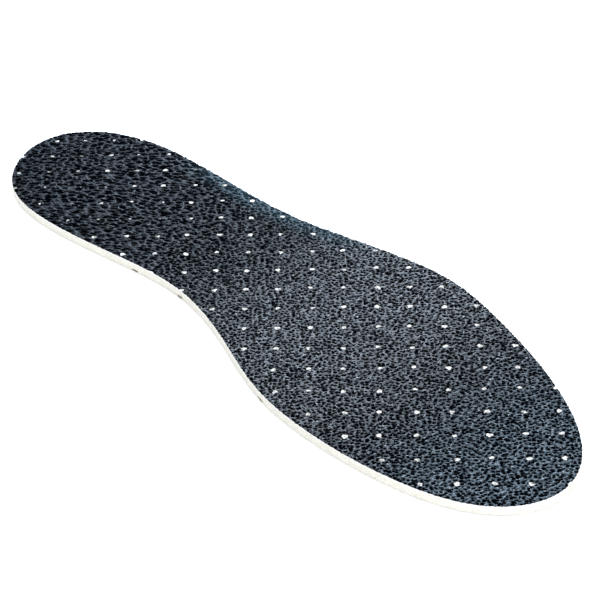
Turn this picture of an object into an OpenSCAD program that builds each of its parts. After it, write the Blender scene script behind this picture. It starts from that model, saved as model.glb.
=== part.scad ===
// Cushioned insole for a left shoe.
//
// A thin foot-shaped pad of four layers, bonded face to face: a latex foam slab, an
// adhesive film, a backing cloth and a dark grained cover. Square rows of needle
// perforations pierce all four. They are widest in the cover and narrowest in the foam,
// which springs back once the needle is out, and the cut edge runs through a few of them.
//
// +X points from the heel to the toe, +Y to the little-toe side and +Z up. The origin is
// at the middle of the underside.

/* [Outline] */
// Length from the back of the heel to the tip of the toe
insole_length = 269; // [235:1:300]
// Width of the heel at its widest
heel_width = 64; // [54:1:74]
// Width of the waist at its narrowest, beside the arch
waist_width = 58; // [50:1:68]
// Width across the ball of the foot
ball_width = 86; // [76:1:98]

/* [Layers] */
// Thickness of the latex foam slab
foam_t = 3; // [2:0.1:6]
// Thickness of the adhesive film
glue_t = 0.1; // [0.05:0.05:0.3]
// Thickness of the backing cloth
cloth_t = 0.4; // [0.2:0.1:0.8]
// Thickness of the grained cover
cover_t = 0.5; // [0.2:0.1:0.8]

/* [Perforations] */
// Distance from one perforation to the next, along a row and between rows
hole_pitch = 11; // [8:0.5:16]
// Angle from the length of the foot to the rows
row_angle = 48.6; // [0:0.1:90]
// How far in front of the middle of the insole the first perforation is
first_hole_x = 79.9; // [60:0.1:90]
// How far to the little-toe side of the middle the first perforation is
first_hole_y = -12.9; // [-20:0.1:20]
// Diameter of a perforation in the cover
cover_hole_d = 1.9; // [1.4:0.1:3]
// Diameter of a perforation in the backing cloth
cloth_hole_d = 1.5; // [1:0.1:3]
// Diameter of a perforation in the foam and the adhesive film
vent_d = 0.9; // [0.6:0.1:2]

/* [Hidden] */

// How far a cutter runs past the faces that it cuts
over = 1;
// Straight steps between two corners of the outline
steps = 16;
// The edge cuts into a perforation whose centre is outside it by up to this share of the
// perforation's radius
bite = 0.7;

// Corners of the smooth closed curve round the foot, anticlockwise from above. Each is a
// share of the length from the heel, and a distance to the little-toe side of the line
// from heel to toe, as a share of the nearest width.
corners = [
    [-0.033,  0.052 * heel_width],   // back of the heel
    [ 0.059, -0.575 * heel_width],   // inner side of the heel
    [ 0.271, -0.441 * heel_width],   // where the arch begins
    [ 0.432, -0.309 * waist_width],  // the arch
    [ 0.595, -0.399 * ball_width],   // where the arch ends
    [ 0.705, -0.479 * ball_width],   // inner side of the ball
    [ 0.960, -0.372 * ball_width],   // big toe
    [ 1.028,  0.034 * ball_width],   // tip of the toe
    [ 0.923,  0.356 * ball_width],   // little toe
    [ 0.715,  0.548 * ball_width],   // outer side of the ball
    [ 0.602,  0.593 * ball_width],   // behind the ball
    [ 0.413,  0.583 * waist_width],  // outer side of the waist
    [ 0.282,  0.506 * heel_width],   // in front of the heel
    [ 0.075,  0.489 * heel_width],   // outer side of the heel
];

// One point of a cubic B-spline between corners b and c
function spline_point(a, b, c, d, t) =
    ((1 - t) ^ 3 * a + (3 * t ^ 3 - 6 * t ^ 2 + 4) * b
        + (-3 * t ^ 3 + 3 * t ^ 2 + 3 * t + 1) * c + t ^ 3 * d) / 6;

// The smooth closed curve that the corners pull into shape
function smooth_loop(pts) = let (n = len(pts)) [
    for (i = [0:n - 1]) for (k = [0:steps - 1])
        spline_point(pts[i], pts[(i + 1) % n], pts[(i + 2) % n], pts[(i + 3) % n], k / steps)
];

// Lowest and highest value of one coordinate
function low(pts, axis) = min([for (p = pts) p[axis]]);
function high(pts, axis) = max([for (p = pts) p[axis]]);

// The curve brought to its full length and centred on its box
function centred(pts) = let (
    stretch = insole_length / (high(pts, 0) - low(pts, 0)),
    middle = (high(pts, 1) + low(pts, 1)) / 2
) [for (p = pts) [(p[0] - low(pts, 0)) * stretch - insole_length / 2, p[1] - middle]];

foot_outline = centred(smooth_loop(corners));

// Whether a point lies inside the outline: a ray from it crosses the edge an odd number
// of times
function crosses(p, a, b) =
    (a[1] > p[1]) != (b[1] > p[1])
    && p[0] < a[0] + (b[0] - a[0]) * (p[1] - a[1]) / (b[1] - a[1]);
function inside(p) = let (n = len(foot_outline)) 1 == len([
    for (i = [0:n - 1]) if (crosses(p, foot_outline[i], foot_outline[(i + 1) % n])) i
]) % 2;

// Distance from a point to the outline
function reach(p, a, b) = let (t = max(0, min(1, (p - a) * (b - a) / ((b - a) * (b - a)))))
    norm(p - a - t * (b - a));
function edge_gap(p) = let (n = len(foot_outline))
    min([for (i = [0:n - 1]) reach(p, foot_outline[i], foot_outline[(i + 1) % n])]);

// Every crossing of the rows that lies on the insole or just outside it, as its place and
// how far inside the edge it is
rows = ceil(insole_length / hole_pitch);
function crossing(i, j) = [
    first_hole_x + hole_pitch * (i * cos(row_angle) - j * sin(row_angle)),
    first_hole_y + hole_pitch * (i * sin(row_angle) + j * cos(row_angle))
];
crossings = [
    for (i = [-rows:rows]) for (j = [-rows:rows])
        let (p = crossing(i, j))
            if (abs(p[0]) < insole_length / 2 + hole_pitch && abs(p[1]) < ball_width)
                [p[0], p[1], edge_gap(p) * (inside(p) ? 1 : -1)]
];

// One layer of the laminate, with its perforations
module layer(bottom, thickness, hole_d) {
    difference() {
        translate([0, 0, bottom]) linear_extrude(thickness) polygon(foot_outline);
        for (c = crossings)
            if (c[2] > -bite * hole_d / 2)
                translate([c[0], c[1], bottom - over])
                    cylinder(h = thickness + 2 * over, d = hole_d, $fn = 24);
    }
}

// Height of the underside of each upper layer
glue_z = foam_t;
cloth_z = glue_z + glue_t;
cover_z = cloth_z + cloth_t;

// The thick slab that cushions the foot
module foam_slab() color("#EDE8D8") layer(0, foam_t, vent_d);

// Hot-melt film that bonds the cloth to the foam
module adhesive_film() color("#DDD8C8") layer(glue_z, glue_t, vent_d);

// White woven backing that the cover is coated on
module backing_cloth() color("#F2F2EE") layer(cloth_z, cloth_t, cloth_hole_d);

// Dark grained skin that the foot rests on
module grain_cover() color("#20262E") layer(cover_z, cover_t, cover_hole_d);

foam_slab();
adhesive_film();
backing_cloth();
grain_cover();
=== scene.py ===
"""A cushioned insole for a left shoe, lying flat with its grained cover up.

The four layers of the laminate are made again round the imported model, each with its own
finish: a grained cover with needle perforations, a woven backing cloth, an adhesive film
and a slab of latex foam. Lengths are in metres unless a name says otherwise.
"""

import math

import bmesh
import bpy
import numpy as np
from mathutils import Matrix, Vector, kdtree


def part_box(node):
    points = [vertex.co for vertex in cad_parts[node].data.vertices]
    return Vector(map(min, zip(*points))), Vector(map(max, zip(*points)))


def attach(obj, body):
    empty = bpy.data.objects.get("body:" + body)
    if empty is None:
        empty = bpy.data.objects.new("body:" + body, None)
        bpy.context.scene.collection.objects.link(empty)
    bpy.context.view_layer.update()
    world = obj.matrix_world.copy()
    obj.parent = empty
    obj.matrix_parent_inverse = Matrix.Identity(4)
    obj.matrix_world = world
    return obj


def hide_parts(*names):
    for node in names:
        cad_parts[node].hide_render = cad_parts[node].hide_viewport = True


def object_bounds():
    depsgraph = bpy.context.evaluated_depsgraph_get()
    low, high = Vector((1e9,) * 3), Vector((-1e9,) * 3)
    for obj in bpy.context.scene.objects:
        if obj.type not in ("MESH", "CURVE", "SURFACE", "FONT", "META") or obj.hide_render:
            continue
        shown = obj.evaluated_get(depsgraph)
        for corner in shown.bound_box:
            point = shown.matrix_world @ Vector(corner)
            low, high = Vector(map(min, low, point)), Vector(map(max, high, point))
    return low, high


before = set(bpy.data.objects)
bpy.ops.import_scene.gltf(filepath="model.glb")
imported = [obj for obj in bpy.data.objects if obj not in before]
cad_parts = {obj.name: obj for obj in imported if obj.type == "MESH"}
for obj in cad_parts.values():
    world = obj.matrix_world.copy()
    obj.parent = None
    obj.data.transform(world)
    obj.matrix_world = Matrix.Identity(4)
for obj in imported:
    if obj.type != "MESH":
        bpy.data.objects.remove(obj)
cad_low, cad_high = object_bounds()

MM = 0.001
DICE = np.random.default_rng(40)

cover_low, cover_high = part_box("grain_cover")
cloth_low, cloth_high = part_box("backing_cloth")
film_low, film_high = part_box("adhesive_film")
foam_low, foam_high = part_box("foam_slab")


# --- Camera and studio ------------------------------------------------------------------

CAMERA_AZIMUTH = math.radians(50.8)
CAMERA_ELEVATION = math.radians(36.1)
CAMERA_ROLL = math.radians(-2.1)
CAMERA_DISTANCE = 0.6056
CAMERA_LENS_MM = 108.6
AIM = Vector((11.4 * MM, -1.4 * MM, cad_high.z))

ROOM_COLOUR = (0.91, 0.955, 1.0, 1.0)
ROOM_STRENGTH = 0.85
COOL_WHITE = (0.72, 0.86, 1.0)
WARM_WHITE = (1.0, 0.99, 0.97)
PLAIN_WHITE = (1.0, 1.0, 1.0)
FLOOR_HALF_WIDTH = 3.0


def direction(azimuth, elevation):
    """From the object towards a place that is seen from that azimuth and elevation."""
    flat = math.cos(elevation)
    return Vector((math.sin(azimuth) * flat, -math.cos(azimuth) * flat, math.sin(elevation)))


def make_camera():
    """The camera, at its distance from the aim, with its small roll."""
    camera = bpy.data.objects.new("camera", bpy.data.cameras.new("camera"))
    bpy.context.scene.collection.objects.link(camera)
    back = direction(CAMERA_AZIMUTH, CAMERA_ELEVATION)
    camera.location = AIM + back * CAMERA_DISTANCE
    turn = (-back).to_track_quat("-Z", "Y").to_matrix().to_4x4()
    roll = Matrix.Rotation(CAMERA_ROLL, 4, "Z")
    camera.rotation_euler = (turn @ roll).to_euler()
    camera.data.lens = CAMERA_LENS_MM
    camera.data.sensor_width = 36.0
    camera.data.clip_start = 0.01
    bpy.context.scene.camera = camera


def make_light(name, azimuth, elevation, distance, size, power, colour):
    """A square softbox that faces the middle of the insole. The two angles are in degrees."""
    light = bpy.data.lights.new(name, "AREA")
    light.shape = "SQUARE"
    light.size = size
    light.energy = power
    light.color = colour
    lamp = bpy.data.objects.new(name, light)
    bpy.context.scene.collection.objects.link(lamp)
    away = direction(math.radians(azimuth), math.radians(elevation))
    lamp.location = away * distance
    lamp.rotation_euler = (-away).to_track_quat("-Z", "Y").to_euler()


def make_studio():
    """A white room with three softboxes and a plain floor."""
    world = bpy.data.worlds.new("white_room")
    bpy.context.scene.world = world
    world.use_nodes = True
    background = world.node_tree.nodes["Background"]
    background.inputs["Color"].default_value = ROOM_COLOUR
    background.inputs["Strength"].default_value = ROOM_STRENGTH
    make_light("back_softbox", 221, 24, 0.5, 0.20, 4.5, COOL_WHITE)
    make_light("low_fill", 78, 10, 1.0, 0.5, 4.5, WARM_WHITE)
    make_light("top_softbox", 231, 83, 1.3, 0.9, 14.0, PLAIN_WHITE)
    bm = bmesh.new()
    bmesh.ops.create_grid(bm, x_segments=1, y_segments=1, size=FLOOR_HALF_WIDTH)
    floor = finished("floor", bm, paper_white())
    bpy.context.scene.view_settings.view_transform = "Standard"


# --- Node helpers -----------------------------------------------------------------------


def put(tree, kind, values=None, **settings):
    """A new node in a tree. Each of the values is an input: a number, a colour or a socket."""
    made = tree.nodes.new(kind)
    for name, setting in settings.items():
        setattr(made, name, setting)
    for key, value in (values or {}).items():
        if isinstance(value, bpy.types.NodeSocket):
            tree.links.new(value, made.inputs[key])
        else:
            made.inputs[key].default_value = value
    return made


def maths(tree, operation, a, b=0.0, c=0.0):
    return put(tree, "ShaderNodeMath", {0: a, 1: b, 2: c}, operation=operation).outputs[0]


def vectors(tree, operation, a, b):
    """A sum on two vectors, or on a vector and a number where the operation is SCALE."""
    second = "Scale" if operation == "SCALE" else 1
    return put(tree, "ShaderNodeVectorMath", {0: a, second: b}, operation=operation).outputs[0]


def split(tree, vector):
    """The three parts of a vector or a colour."""
    return put(tree, "ShaderNodeSeparateXYZ", {0: vector}).outputs


def ease(tree, value, low, high, out_low=0.0, out_high=1.0):
    """A smooth step from out_low to out_high as value goes from low to high."""
    step = put(
        tree,
        "ShaderNodeMapRange",
        {"Value": value, "From Min": low, "From Max": high, "To Min": out_low, "To Max": out_high},
        interpolation_type="SMOOTHSTEP",
    )
    return step.outputs["Result"]


def blend_colours(tree, share, a, b):
    mix = put(tree, "ShaderNodeMix", data_type="RGBA")
    for socket, value in ((mix.inputs[0], share), (mix.inputs[6], a), (mix.inputs[7], b)):
        if isinstance(value, bpy.types.NodeSocket):
            tree.links.new(value, socket)
        else:
            socket.default_value = value
    return mix.outputs[2]


def scaled(tree, place, per_mm):
    """A place in metres as pattern coordinates, so many cells to the millimetre."""
    return vectors(tree, "SCALE", place, per_mm / MM)


def noise(tree, place, detail=2.0, roughness=0.5, dimensions="3D"):
    return put(
        tree,
        "ShaderNodeTexNoise",
        {"Vector": place, "Scale": 1.0, "Detail": detail, "Roughness": roughness},
        noise_dimensions=dimensions,
    )


def voronoi(tree, place, feature, randomness=1.0, dimensions="3D"):
    return put(
        tree,
        "ShaderNodeTexVoronoi",
        {"Vector": place, "Scale": 1.0, "Randomness": randomness},
        feature=feature,
        voronoi_dimensions=dimensions,
    )


def new_material(name):
    """A material with its tree, its shader and the object's own coordinates."""
    material = bpy.data.materials.new(name)
    material.use_nodes = True
    tree = material.node_tree
    shader = tree.nodes["Principled BSDF"]
    place = put(tree, "ShaderNodeTexCoord").outputs["Object"]
    return material, tree, shader, place


def bump(tree, shader, height, depth_mm):
    """Relief of a height from 0 to 1, so many millimetres deep. Gives the bent normal."""
    made = put(tree, "ShaderNodeBump", {"Distance": depth_mm * MM, "Height": height})
    tree.links.new(made.outputs["Normal"], shader.inputs["Normal"])
    return made.outputs["Normal"]


# --- The grain of the cover, the same in the mesh and in the material -------------------

GRAIN_CELLS_PER_MM = 0.9
FINE_CELLS_PER_MM = 2.2
FOLDS_PER_MM = 0.45
WRINKLES_PER_MM = 0.26
WANDER_PER_MM = 0.7
WANDER_MM = 0.75
GRAIN_DEPTH_MM = 0.26
GRAIN_RUN = math.radians(51)
# Between these places along the insole the grain changes from the heel's to the ball's
HEEL_GRAIN_ENDS = -110 * MM
BALL_GRAIN_STARTS = 10 * MM


def grain_place(tree, place, along):
    """A place in the grain's own pattern, which wanders, and is drawn out along its run.

    The grain is coarser and more drawn out under the heel than under the ball.
    """
    fineness = ease(tree, along, HEEL_GRAIN_ENDS, BALL_GRAIN_STARTS, 0.75, 1.0)
    spread = vectors(tree, "SCALE", place, fineness)
    wander = noise(tree, scaled(tree, spread, WANDER_PER_MM), dimensions="2D").outputs["Color"]
    shift = vectors(tree, "SUBTRACT", wander, (0.5, 0.5, 0.5))
    moved = vectors(tree, "ADD", spread, vectors(tree, "SCALE", shift, WANDER_MM * MM))
    turn = {"Vector": moved, "Angle": -GRAIN_RUN}
    turned = put(tree, "ShaderNodeVectorRotate", turn, rotation_type="Z_AXIS").outputs[0]
    squeeze = ease(tree, along, HEEL_GRAIN_ENDS, BALL_GRAIN_STARTS, 1 / 1.8, 1 / 1.25)
    shares = put(tree, "ShaderNodeCombineXYZ", {"X": squeeze, "Y": 1.0, "Z": 1.0}).outputs[0]
    return vectors(tree, "MULTIPLY", turned, shares)


def grain_pits(tree, spot):
    """How deep the pits are, large and fine ones together: 0 between them and 1 at most."""
    cell = voronoi(tree, scaled(tree, spot, GRAIN_CELLS_PER_MM), "F1", dimensions="2D")
    chance = split(tree, cell.outputs["Color"])
    reach = ease(tree, chance[0], 0.0, 1.0, 0.32, 0.52)
    away = maths(tree, "DIVIDE", cell.outputs["Distance"], reach)
    depth = ease(tree, chance[1], 0.0, 0.6, 0.55, 1.0)
    pit = maths(tree, "MULTIPLY", ease(tree, away, 0.7, 1.1, 1.0, 0.0), depth)
    fine = voronoi(tree, scaled(tree, spot, FINE_CELLS_PER_MM), "F1", dimensions="2D")
    fine_pit = ease(tree, fine.outputs["Distance"], 0.15, 0.45, 1.0, 0.0)
    return maths(tree, "MULTIPLY_ADD", fine_pit, 0.2, maths(tree, "MULTIPLY", pit, 0.8))


def grain_folds(tree, spot, along):
    """The slow rise and fall of the skin, stronger under the heel, with raised wrinkles."""
    fold = noise(tree, scaled(tree, spot, FOLDS_PER_MM), dimensions="2D").outputs["Fac"]
    gain = ease(tree, along, -130 * MM, -20 * MM, 0.65, 0.35)
    swell = maths(tree, "MULTIPLY", maths(tree, "SUBTRACT", fold, 0.5), gain)
    slow = noise(tree, scaled(tree, spot, WRINKLES_PER_MM), dimensions="2D").outputs["Fac"]
    off_line = maths(tree, "ABSOLUTE", maths(tree, "SUBTRACT", slow, 0.5))
    return maths(tree, "ADD", swell, ease(tree, off_line, 0.0, 0.06, 0.5, 0.0))


def grain(tree, place):
    """Height of the crinkled grain: about 0 at the bottom of a pit and 1 on the web."""
    along = split(tree, place)[0]
    spot = grain_place(tree, place, along)
    cells = scaled(tree, spot, GRAIN_CELLS_PER_MM)
    border = voronoi(tree, cells, "DISTANCE_TO_EDGE", dimensions="2D").outputs["Distance"]
    crest = ease(tree, border, 0.02, 0.26, 1.0, 0.66)
    web = maths(tree, "SUBTRACT", crest, grain_pits(tree, spot))
    return maths(tree, "ADD", web, grain_folds(tree, spot, along))


# --- Materials --------------------------------------------------------------------------


# Painted shade: the near-black of the pits stands in for their self-shadowing.
SHADED_PIT = (0.0005, 0.0008, 0.0015, 1)
# Painted sheen: the lighter, bluer colour of the pits in the band along the waist rim.
SHEEN_PIT = (0.03, 0.055, 0.075, 1)
BLUE_BLACK = (0.010, 0.015, 0.024, 1)
SOFT_BLACK = (0.015, 0.019, 0.026, 1)
TOE_BLUE = (0.060, 0.094, 0.130, 1)
# Painted sheen: the lighter grey of the web under the ball.
SHEEN_GREY = (0.112, 0.126, 0.148, 1)
# Painted sheen: the pale blue that the web takes in the band along the waist rim.
SHEEN_BLUE = (0.055, 0.105, 0.140, 1)
WORN_SPECK = (0.10, 0.12, 0.145, 1)


def between(tree, along, start, full, fades, end):
    """1 in a stretch of the insole and 0 outside it, with soft ends."""
    return maths(tree, "MULTIPLY", ease(tree, along, start, full), ease(tree, along, end, fades))


def painted_sheen_band(tree, along, across):
    """Where a painted sheen lightens the skin: along the rim on the little-toe side of the waist.
    """
    waist = between(tree, along, -95 * MM, -50 * MM, -15 * MM, 10 * MM)
    gap = put(tree, "ShaderNodeAttribute", attribute_name="rim_gap").outputs["Fac"]
    outer = maths(
        tree, "MULTIPLY", ease(tree, gap, 0.0, 1.0, 1.0, 0.0), ease(tree, across, 0, 12 * MM)
    )
    return maths(tree, "MULTIPLY", outer, waist)


def ridge_colour(tree, place, along):
    """Colour of the web: blue-black, bluer at the toe and lightened to grey under the ball by a
    painted sheen.
    """
    cloud = noise(tree, scaled(tree, place, 0.06), detail=3.0).outputs["Fac"]
    black = blend_colours(tree, ease(tree, cloud, 0.35, 0.65), BLUE_BLACK, SOFT_BLACK)
    toe = blend_colours(tree, ease(tree, along, 60 * MM, 125 * MM), black, TOE_BLUE)
    ball = between(tree, along, -30 * MM, 15 * MM, 45 * MM, 95 * MM)
    # Under the ball the web is lightened towards grey: a painted sheen.
    return blend_colours(tree, maths(tree, "MULTIPLY", ball, 0.8), toe, SHEEN_GREY)


def grained_skin():
    """Dark coated leather with a satin web, its matt pits painted near-black as painted shade for
    their self-shadowing.
    """
    material, tree, shader, place = new_material("grained_skin")
    height = grain(tree, place)
    web = maths(tree, "POWER", ease(tree, height, 0.12, 1.02), 2.4)
    speck = noise(tree, scaled(tree, place, 1.9), detail=3.0).outputs["Fac"]
    along, across = split(tree, place)[:2]
    # The pale blue band along the waist rim is a painted sheen.
    sheen_share = painted_sheen_band(tree, along, across)
    sheened = blend_colours(tree, sheen_share, ridge_colour(tree, place, along), SHEEN_BLUE)
    worn = blend_colours(tree, ease(tree, speck, 0.5, 0.8), sheened, WORN_SPECK)
    # The pits are painted near-black: painted shade.
    pitted = blend_colours(tree, web, SHADED_PIT, worn)
    colour = blend_colours(tree, maths(tree, "MULTIPLY", sheen_share, 0.5), pitted, SHEEN_PIT)
    tree.links.new(colour, shader.inputs["Base Color"])
    shader.inputs["Roughness"].default_value = 0.8
    shader.inputs["Specular IOR Level"].default_value = 0.0
    satin = ease(tree, along, -70 * MM, 30 * MM, 0.42, 1.0)
    tree.links.new(maths(tree, "MULTIPLY", web, satin), shader.inputs["Coat Weight"])
    shader.inputs["Coat Roughness"].default_value = 0.30
    shader.inputs["Coat IOR"].default_value = 1.5
    relief = maths(tree, "MULTIPLY_ADD", speck, 0.35, height)
    tree.links.new(bump(tree, shader, relief, 1.0), shader.inputs["Coat Normal"])
    return material


def woven_cloth():
    """Plain white weave: two sets of bands across each other, with a little fuzz."""
    material, tree, shader, place = new_material("woven_cloth")
    threads = []
    for axis in ("X", "Y"):
        wave = put(
            tree,
            "ShaderNodeTexWave",
            {"Vector": scaled(tree, place, 1.0), "Scale": 0.62, "Distortion": 0.5, "Detail": 1.0},
            bands_direction=axis,
        )
        threads.append(wave.outputs["Fac"])
    weave = maths(tree, "MULTIPLY", *threads)
    fuzz = noise(tree, scaled(tree, place, 5.0), detail=3.0).outputs["Fac"]
    shade = ease(tree, maths(tree, "MULTIPLY_ADD", fuzz, 0.5, weave), 0.1, 1.1)
    colour = blend_colours(tree, shade, (0.84, 0.84, 0.83, 1), (0.97, 0.97, 0.97, 1))
    tree.links.new(colour, shader.inputs["Base Color"])
    shader.inputs["Roughness"].default_value = 0.9
    shader.inputs["Sheen Weight"].default_value = 0.15
    bump(tree, shader, maths(tree, "MULTIPLY_ADD", fuzz, 0.4, weave), 0.12)
    return material


def hot_melt():
    """Cream hot-melt adhesive, streaked and slightly glossy."""
    material, tree, shader, place = new_material("hot_melt")
    streak = noise(tree, scaled(tree, place, 0.5), detail=4.0, roughness=0.6).outputs["Fac"]
    colour = blend_colours(tree, streak, (0.84, 0.81, 0.72, 1), (0.92, 0.905, 0.85, 1))
    tree.links.new(colour, shader.inputs["Base Color"])
    tree.links.new(ease(tree, streak, 0.3, 0.7, 0.3, 0.55), shader.inputs["Roughness"])
    bump(tree, shader, streak, 0.05)
    return material


DARK_IVORY = (0.835, 0.805, 0.735, 1)
PALE_IVORY = (0.865, 0.84, 0.785, 1)
SOFT_IVORY = (0.79, 0.76, 0.68, 1)
# Painted shade: the darker colour inside the foam's open pores.
SHADED_PORE = (0.60, 0.565, 0.47, 1)
# Dark brown flecks, low on the foam's cut edge.
DARK_FLECK = (0.16, 0.12, 0.08, 1)
FLECK_RADIUS = 1.35 * MM
FLECK_RAGGEDNESS = 1.6 * MM


def with_flecks(tree, place, colour, flecks):
    """The colour with dark flecks on it, long and flat with ragged edges."""
    smudge = noise(tree, scaled(tree, place, 2.2), detail=3.0).outputs["Fac"]
    for spot in flecks:
        away = vectors(tree, "SUBTRACT", place, spot)
        flat = vectors(tree, "MULTIPLY", away, (0.45, 1.0, 1.6))
        far = put(tree, "ShaderNodeVectorMath", {0: flat}, operation="LENGTH").outputs["Value"]
        past = maths(tree, "SUBTRACT", far, FLECK_RADIUS)
        edge = maths(tree, "MULTIPLY_ADD", smudge, FLECK_RAGGEDNESS, past)
        colour = blend_colours(tree, ease(tree, edge, -0.1 * MM, 0.35 * MM), DARK_FLECK, colour)
    return colour


def latex(flecks):
    """Ivory latex foam, finely porous and mottled, with dark flecks at the foot of its cut edge.
    """
    material, tree, shader, place = new_material("latex_foam")
    pores = voronoi(tree, scaled(tree, place, 2.6), "F1")
    pore = ease(tree, pores.outputs["Distance"], 0.12, 0.5)
    chance = split(tree, pores.outputs["Color"])[0]
    between_pores = maths(tree, "MAXIMUM", pore, ease(tree, chance, 0.5, 0.75))
    cloud = noise(tree, scaled(tree, place, 0.12), detail=3.0).outputs["Fac"]
    mottle = noise(tree, scaled(tree, place, 1.1), detail=4.0, roughness=0.6).outputs["Fac"]
    ivory = blend_colours(tree, ease(tree, cloud, 0.3, 0.7), DARK_IVORY, PALE_IVORY)
    soft = blend_colours(tree, ease(tree, mottle, 0.35, 0.7), SOFT_IVORY, ivory)
    # The pores are painted darker: painted shade in the recesses.
    colour = blend_colours(tree, between_pores, SHADED_PORE, soft)
    flecked = with_flecks(tree, place, colour, flecks)
    tree.links.new(flecked, shader.inputs["Base Color"])
    shader.inputs["Roughness"].default_value = 0.92
    shader.inputs["Specular IOR Level"].default_value = 0.25
    bump(tree, shader, maths(tree, "MULTIPLY_ADD", mottle, 0.6, between_pores), 0.10)
    return material


def paper_white():
    """The matt white of the floor."""
    material, tree, shader, place = new_material("paper_white")
    tooth = noise(tree, scaled(tree, place, 0.8), detail=2.0).outputs["Fac"]
    colour = blend_colours(tree, tooth, (0.86, 0.86, 0.86, 1), (0.88, 0.88, 0.88, 1))
    tree.links.new(colour, shader.inputs["Base Color"])
    shader.inputs["Roughness"].default_value = 0.9
    shader.inputs["Specular IOR Level"].default_value = 0.2
    return material


# --- The rim and the perforations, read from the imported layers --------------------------

SHORT_EDGE = 1.2 * MM


def top_loops(node):
    """The closed loops round the top face of a packed layer, the longest one first."""
    bm = bmesh.new()
    bm.from_mesh(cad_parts[node].data)
    bmesh.ops.remove_doubles(bm, verts=bm.verts, dist=0.001 * MM)
    bm.normal_update()
    top = max(v.co.z for v in bm.verts)
    beside = {}
    for e in bm.edges:
        flat = all(abs(v.co.z - top) < 0.01 * MM for v in e.verts)
        if flat and sorted(f.normal.z > 0.9 for f in e.link_faces) == [False, True]:
            a, b = e.verts
            beside.setdefault(a, []).append(b)
            beside.setdefault(b, []).append(a)
    loops = []
    seen = set()
    for start in beside:
        if start in seen:
            continue
        loop = []
        last = None
        here = start
        while here not in seen:
            seen.add(here)
            loop.append(here.co.xy.copy())
            ahead = [v for v in beside[here] if v is not last]
            last, here = here, ahead[0]
        loops.append(np.array(loop))
    bm.free()
    return sorted(loops, key=lambda loop: -np.ptp(loop[:, 0]))


def circle_centre(a, b, c):
    """Centre of the circle through three points."""
    rows = 2 * np.array([b - a, c - a])
    return np.linalg.solve(rows, [b @ b - a @ a, c @ c - a @ a])


def short_runs(loop):
    """The runs of short edges in a loop, which are arcs where the rim cuts a perforation."""
    short = np.linalg.norm(np.roll(loop, -1, axis=0) - loop, axis=1) < SHORT_EDGE
    first = int(np.argmin(short))
    order = [(first + k) % len(loop) for k in range(len(loop))]
    runs = []
    run = []
    for i in order:
        if short[i]:
            run.append(i)
        elif run:
            runs.append(run + [i])
            run = []
    return [r for r in runs if len(r) >= 3]


def read_layer(node):
    """The plain rim of a packed layer, and the centres of all its perforations."""
    outer, *holes = top_loops(node)
    centres = [hole.mean(axis=0) for hole in holes]
    inside_arc = set()
    for run in short_runs(outer):
        a, b, c = outer[run[0]], outer[run[len(run) // 2]], outer[run[-1]]
        centres.append(circle_centre(a, b, c))
        inside_arc.update(run[1:-1])
    rim = np.array([p for i, p in enumerate(outer) if i not in inside_arc])
    if turning(rim) < 0:
        rim = rim[::-1]
    return rim, np.array(centres)


def turning(loop):
    """Twice the area inside a loop, positive where it runs anticlockwise."""
    after = np.roll(loop, -1, axis=0)
    return float(np.sum(loop[:, 0] * after[:, 1] - after[:, 0] * loop[:, 1]))


def on_curve(a, b, c, d, t):
    """A point between b and c on the smooth curve through four points (Catmull-Rom)."""
    square = 2 * a - 5 * b + 4 * c - d
    cube = 3 * b - a - 3 * c + d
    return 0.5 * (2 * b + (c - a) * t + square * t**2 + cube * t**3)


def evenly(loop, step):
    """A closed loop with points a step apart, on a smooth curve through the old ones."""
    fine = []
    for i in range(len(loop)):
        four = [loop[(i + k) % len(loop)] for k in (-1, 0, 1, 2)]
        fine.extend(on_curve(*four, t) for t in np.linspace(0, 1, 8, endpoint=False))
    closed = np.array(fine + fine[:1])
    along = np.concatenate([[0], np.cumsum(np.linalg.norm(np.diff(closed, axis=0), axis=1))])
    at = np.linspace(0, along[-1], max(8, round(along[-1] / step)), endpoint=False)
    return np.stack([np.interp(at, along, closed[:, k]) for k in (0, 1)], axis=1)


def outwards(loop):
    """The outward direction at each point of an anticlockwise loop."""
    along = np.roll(loop, -1, axis=0) - np.roll(loop, 1, axis=0)
    normal = np.stack([along[:, 1], -along[:, 0]], axis=1)
    return normal / np.linalg.norm(normal, axis=1)[:, None]


def pushed(loop, out_mm):
    """A loop with each point moved outwards by so many millimetres."""
    return loop + outwards(loop) * (out_mm * MM)[:, None]


def level(low, high, share):
    """The height at a share of the thickness between two corners of a layer's box."""
    return low.z + (high.z - low.z) * share


def ripple(count, waves, size):
    """A smooth random in-and-out round a closed loop of so many points."""
    turn = np.linspace(0, 2 * math.pi, count, endpoint=False)
    total = np.zeros(count)
    for wave in waves:
        total += np.sin(turn * wave + DICE.uniform(0, 2 * math.pi)) * DICE.uniform(0.5, 1.0)
    return total * size / len(waves)


# --- Mesh helpers -----------------------------------------------------------------------


def finished(name, bm, material):
    """The bmesh as an object in the scene, with its material."""
    mesh = bpy.data.meshes.new(name)
    bm.to_mesh(mesh)
    bm.free()
    mesh.materials.append(material)
    made = bpy.data.objects.new(name, mesh)
    bpy.context.scene.collection.objects.link(made)
    return made


def smooth(piece, sharp_angle):
    """Shades a piece smooth, but for edges sharper than an angle in degrees."""
    mesh = piece.data
    mesh.polygons.foreach_set("use_smooth", [True] * len(mesh.polygons))
    mesh.set_sharp_from_angle(angle=math.radians(sharp_angle))


def add_ring(bm, loop, height):
    """A closed ring of edges at a height."""
    verts = [bm.verts.new((x, y, height)) for x, y in loop]
    return [bm.edges.new((a, b)) for a, b in zip(verts, verts[1:] + verts[:1])]


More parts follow.
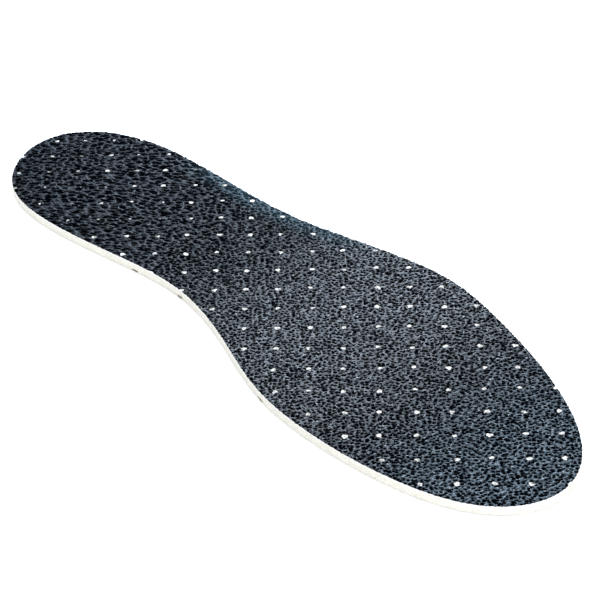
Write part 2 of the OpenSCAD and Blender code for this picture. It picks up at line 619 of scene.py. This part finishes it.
def walled(rings):
    """A closed solid through rings of edges, from the lowest to the highest."""
    bm = bmesh.new()
    made = [add_ring(bm, loop, height) for loop, height in rings]
    for low, high in zip(made, made[1:]):
        bmesh.ops.bridge_loops(bm, edges=low + high)
    bmesh.ops.edgeloop_fill(bm, edges=made[0])
    bmesh.ops.edgeloop_fill(bm, edges=made[-1])
    bmesh.ops.recalc_face_normals(bm, faces=bm.faces)
    return bm


def needle_hole(centre, radius, sides, raggedness):
    """The outline of one perforation, a little out of round, as a needle leaves it."""
    turn = np.linspace(0, 2 * math.pi, sides, endpoint=False)
    size = radius * (1 + ripple(sides, (2, 3, 5), raggedness))
    return centre + np.stack([np.cos(turn), np.sin(turn)], axis=1) * size[:, None]


SKIN_HOLE_RADIUS = 0.95 * MM
HEEL_END = -60 * MM


def skin_hole(centre, rim):
    """A perforation of the skin; many of those under the heel have partly closed again."""
    least = 0.6 if centre[0] < HEEL_END else 0.88
    radius = SKIN_HOLE_RADIUS * DICE.uniform(least, 1.12)
    return needle_hole(centre + off_pitch(centre, rim), radius, 18, 0.4)


def off_pitch(centre, rim):
    """How far a needle strikes off its place: not at all where the rim cuts its hole."""
    if np.linalg.norm(rim - centre, axis=1).min() < 2.5 * MM:
        return np.zeros(2)
    return np.clip(DICE.normal(0, 0.3, 2), -0.5, 0.5) * MM


# How far a cutter runs past the faces that it cuts
OVER = MM


def punched(piece, outlines, low, high):
    """Cuts the perforations through a piece that lies between two heights."""
    bm = bmesh.new()
    for loop in outlines:
        rings = [add_ring(bm, loop, z) for z in (low - OVER, high + OVER)]
        bmesh.ops.bridge_loops(bm, edges=rings[0] + rings[1])
        for ring in rings:
            bmesh.ops.edgeloop_fill(bm, edges=ring)
    bmesh.ops.recalc_face_normals(bm, faces=bm.faces)
    carved(piece, bm, "DIFFERENCE")


def carved(piece, cutter_bm, operation):
    """Applies a boolean of a closed cutter to a piece, and removes the cutter."""
    mesh = bpy.data.meshes.new("cutter")
    cutter_bm.to_mesh(mesh)
    cutter_bm.free()
    cutter = bpy.data.objects.new("cutter", mesh)
    bpy.context.scene.collection.objects.link(cutter)
    change = piece.modifiers.new("carve", "BOOLEAN")
    change.operation = operation
    change.solver = "MANIFOLD"
    change.object = cutter
    apply_modifiers(piece)
    bpy.data.objects.remove(cutter)
    bpy.data.meshes.remove(mesh)


def apply_modifiers(piece):
    """Makes the modified mesh the piece's own."""
    bpy.context.view_layer.update()
    shown = piece.evaluated_get(bpy.context.evaluated_depsgraph_get())
    old, new = piece.data, bpy.data.meshes.new_from_object(shown)
    piece.modifiers.clear()
    piece.data = new
    bpy.data.meshes.remove(old)
    new.name = piece.name


# --- The layers -------------------------------------------------------------------------

COARSE_STEP = 0.7 * MM
THREAD_STEP = 0.28 * MM
SKIN_STEP = 0.5 * MM
GRAIN_STEP = 0.455 * MM

FLECKS_ALONG_MM = (-44.0, -21.0, 40.0)
FLECK_HEIGHT = 0.55 * MM
FOAM_VENT_RADIUS = 0.38 * MM
INNER_HOLE_RADIUS = 0.42 * MM

# Shares of a layer's thickness, and how far its edge stands out there in millimetres
FOAM_PROFILE = (
    (0.0, -0.16),
    (0.05, -0.04),
    (0.16, 0.02),
    (0.4, -0.05),
    (0.65, -0.07),
    (0.88, -0.01),
    (1.0, 0.0),
)
FILM_PROFILE = ((0.0, -0.02), (0.5, -0.02), (1.0, -0.02))
CLOTH_PROFILE = ((0.0, -0.04), (0.3, 0.0), (0.7, 0.0), (1.0, -0.05))


def fleck_spots(loop):
    """Where the dark flecks sit at the foot of the arch side: on the wall, at places along the
    insole.
    """
    inner = loop[loop[:, 1] < 0]
    spots = []
    for along in FLECKS_ALONG_MM:
        x, y = inner[np.argmin(abs(inner[:, 0] - along * MM))]
        spots.append((x, y, foam_low.z + FLECK_HEIGHT))
    return spots


def make_foam(rim, holes):
    """The latex slab: a die-cut wall, a little dished and rounded at the foot."""
    loop = evenly(rim, COARSE_STEP)
    rings = []
    for share, shift in FOAM_PROFILE:
        sway = ripple(len(loop), (7, 19, 43, 97, 210), 0.10)
        rings.append((pushed(loop, shift + sway), level(foam_low, foam_high, share)))
    foam = finished("latex_foam_slab", walled(rings), latex(fleck_spots(loop)))
    vents = []
    for centre in holes:
        struck = centre + DICE.uniform(-0.22, 0.22, 2) * MM
        vents.append(needle_hole(struck, FOAM_VENT_RADIUS * DICE.uniform(0.8, 1.15), 10, 0.2))
    punched(foam, vents, foam_low.z, foam_high.z)
    smooth(foam, 30)
    return foam


def make_film(rim, holes):
    """The hot-melt film, squeezed out a little here and there along the edge."""
    loop = evenly(rim, COARSE_STEP)
    rings = []
    for share, shift in FILM_PROFILE:
        squeezed = ripple(len(loop), (11, 31, 83, 170), 0.08)
        rings.append((pushed(loop, squeezed + shift), level(film_low, film_high, share)))
    film = finished("adhesive_film_sheet", walled(rings), hot_melt())
    vents = [needle_hole(centre, INNER_HOLE_RADIUS, 10, 0.15) for centre in holes]
    punched(film, vents, film_low.z, film_high.z)
    return film


def make_cloth(rim, holes):
    """The woven backing, with the ends of its threads along the cut edge."""
    loop = evenly(rim, THREAD_STEP)
    every_other = np.where(np.arange(len(loop)) % 2 == 0, 0.03, -0.05)
    ends = every_other + DICE.uniform(-0.03, 0.03, len(loop))
    rings = []
    for share, shift in CLOTH_PROFILE:
        rings.append((pushed(loop, ends + shift), level(cloth_low, cloth_high, share)))
    cloth = finished("woven_backing_cloth", walled(rings), woven_cloth())
    gaps = []
    for centre in holes:
        radius = INNER_HOLE_RADIUS * DICE.uniform(0.6, 1.15)
        gaps.append(needle_hole(centre, radius, 14, 0.35))
    punched(cloth, gaps, cloth_low.z, cloth_high.z)
    return cloth


def gridded_sheet(low, high):
    """A closed flat sheet between two corners, with its top in squares of about GRAIN_STEP."""
    count = np.ceil((high - low) / GRAIN_STEP).astype(int)
    size = high - low
    middle = (high + low) / 2
    bm = bmesh.new()
    bmesh.ops.create_grid(bm, x_segments=int(count[0]), y_segments=int(count[1]), size=0.5)
    bmesh.ops.scale(bm, verts=bm.verts, vec=(size[0], size[1], 1.0))
    bmesh.ops.translate(bm, verts=bm.verts, vec=(middle[0], middle[1], cover_high.z))
    border = [e for e in bm.edges if e.is_boundary]
    grown = bmesh.ops.extrude_edge_only(bm, edges=border)["geom"]
    for v in (g for g in grown if isinstance(g, bmesh.types.BMVert)):
        v.co.z = cover_low.z
    bmesh.ops.holes_fill(bm, edges=[e for e in bm.edges if e.is_boundary])
    bmesh.ops.recalc_face_normals(bm, faces=bm.faces)
    return bm


def make_cover(rim, holes):
    """The grained skin: a finely gridded sheet, die-cut and punched, then embossed."""
    margin = 1.5 * MM
    sheet = gridded_sheet(rim.min(axis=0) - margin, rim.max(axis=0) + margin)
    cover = finished("grained_cover_skin", sheet, grained_skin())
    loop = evenly(rim, SKIN_STEP)
    loop = pushed(loop, ripple(len(loop), (13, 91, 240, 310, 370, 430), 0.34))
    die = walled([(loop, cover_low.z - OVER), (loop, cover_high.z + OVER)])
    carved(cover, die, "INTERSECT")
    gaps = [skin_hole(centre, rim) for centre in holes]
    punched(cover, gaps, cover_low.z, cover_high.z)
    emboss(cover, loop, gaps)
    return cover


def finder(points):
    """A search tree over flat points, for the distance to the nearest one."""
    tree = kdtree.KDTree(len(points))
    for i, (x, y) in enumerate(points):
        tree.insert((x, y, 0.0), i)
    tree.balance()
    return tree


ROLL_REACH = 0.5 * MM
ROLL_DROP = 0.3
# How far in from the rim the painted sheen band reaches.
SHEEN_BAND_REACH = 9 * MM


def mark_edges(cover, loop, gaps):
    """Stores on each point how near it is to any cut edge, for rolling, and to the rim."""
    any_cut = finder(np.vstack([loop, *gaps]))
    outer = finder(loop)
    roll = []
    rim_gap = []
    for v in cover.data.vertices:
        spot = (v.co.x, v.co.y, 0.0)
        on_top = v.co.z > cover_high.z - 0.01 * MM
        roll.append(min(1.0, any_cut.find(spot)[2] / ROLL_REACH) if on_top else -1.0)
        rim_gap.append(min(1.0, outer.find(spot)[2] / SHEEN_BAND_REACH))
    for name, values in (("roll", roll), ("rim_gap", rim_gap)):
        cover.data.attributes.new(name, "FLOAT", "POINT").data.foreach_set("value", values)


def emboss_nodes():
    """Nodes that press the grain into the top of the skin, and roll its cut edges over."""
    tree = bpy.data.node_groups.new("emboss", "GeometryNodeTree")
    for way in ("INPUT", "OUTPUT"):
        tree.interface.new_socket("Geometry", in_out=way, socket_type="NodeSocketGeometry")
    start = put(tree, "NodeGroupInput")
    end = put(tree, "NodeGroupOutput")
    place = put(tree, "GeometryNodeInputPosition").outputs[0]
    named = put(tree, "GeometryNodeInputNamedAttribute", {"Name": "roll"}, data_type="FLOAT")
    roll = named.outputs[0]
    height = maths(tree, "SUBTRACT", grain(tree, place), 0.75)
    sunk = maths(tree, "MULTIPLY_ADD", ease(tree, roll, 0.0, 1.0), ROLL_DROP, -ROLL_DROP)
    total = maths(tree, "MULTIPLY", maths(tree, "ADD", height, sunk), GRAIN_DEPTH_MM * MM)
    on_top = maths(tree, "GREATER_THAN", roll, -0.5)
    rise = maths(tree, "MULTIPLY", total, on_top)
    move = put(tree, "ShaderNodeCombineXYZ", {"Z": rise}).outputs[0]
    moved = put(tree, "GeometryNodeSetPosition", {"Geometry": start.outputs[0], "Offset": move})
    tree.links.new(moved.outputs[0], end.inputs[0])
    return tree


def emboss(cover, loop, gaps):
    """Gives the skin its grain and its rolled edges, and keeps each point's gap to the rim."""
    mark_edges(cover, loop, gaps)
    cover.modifiers.new("emboss", "NODES").node_group = emboss_nodes()
    apply_modifiers(cover)
    cover.data.attributes.remove(cover.data.attributes["roll"])
    smooth(cover, 60)


make_camera()
make_studio()

rim, cover_holes = read_layer("grain_cover")
pieces = (
    (make_foam(rim, read_layer("foam_slab")[1]), "foam_slab", "latex_foam"),
    (make_film(rim, read_layer("adhesive_film")[1]), "adhesive_film", "adhesive"),
    (make_cloth(rim, read_layer("backing_cloth")[1]), "backing_cloth", "backing_cloth"),
    (make_cover(rim, cover_holes), "grain_cover", "grained_cover"),
)
for piece, node, slot in pieces:
    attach(piece, "root")
    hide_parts(node)
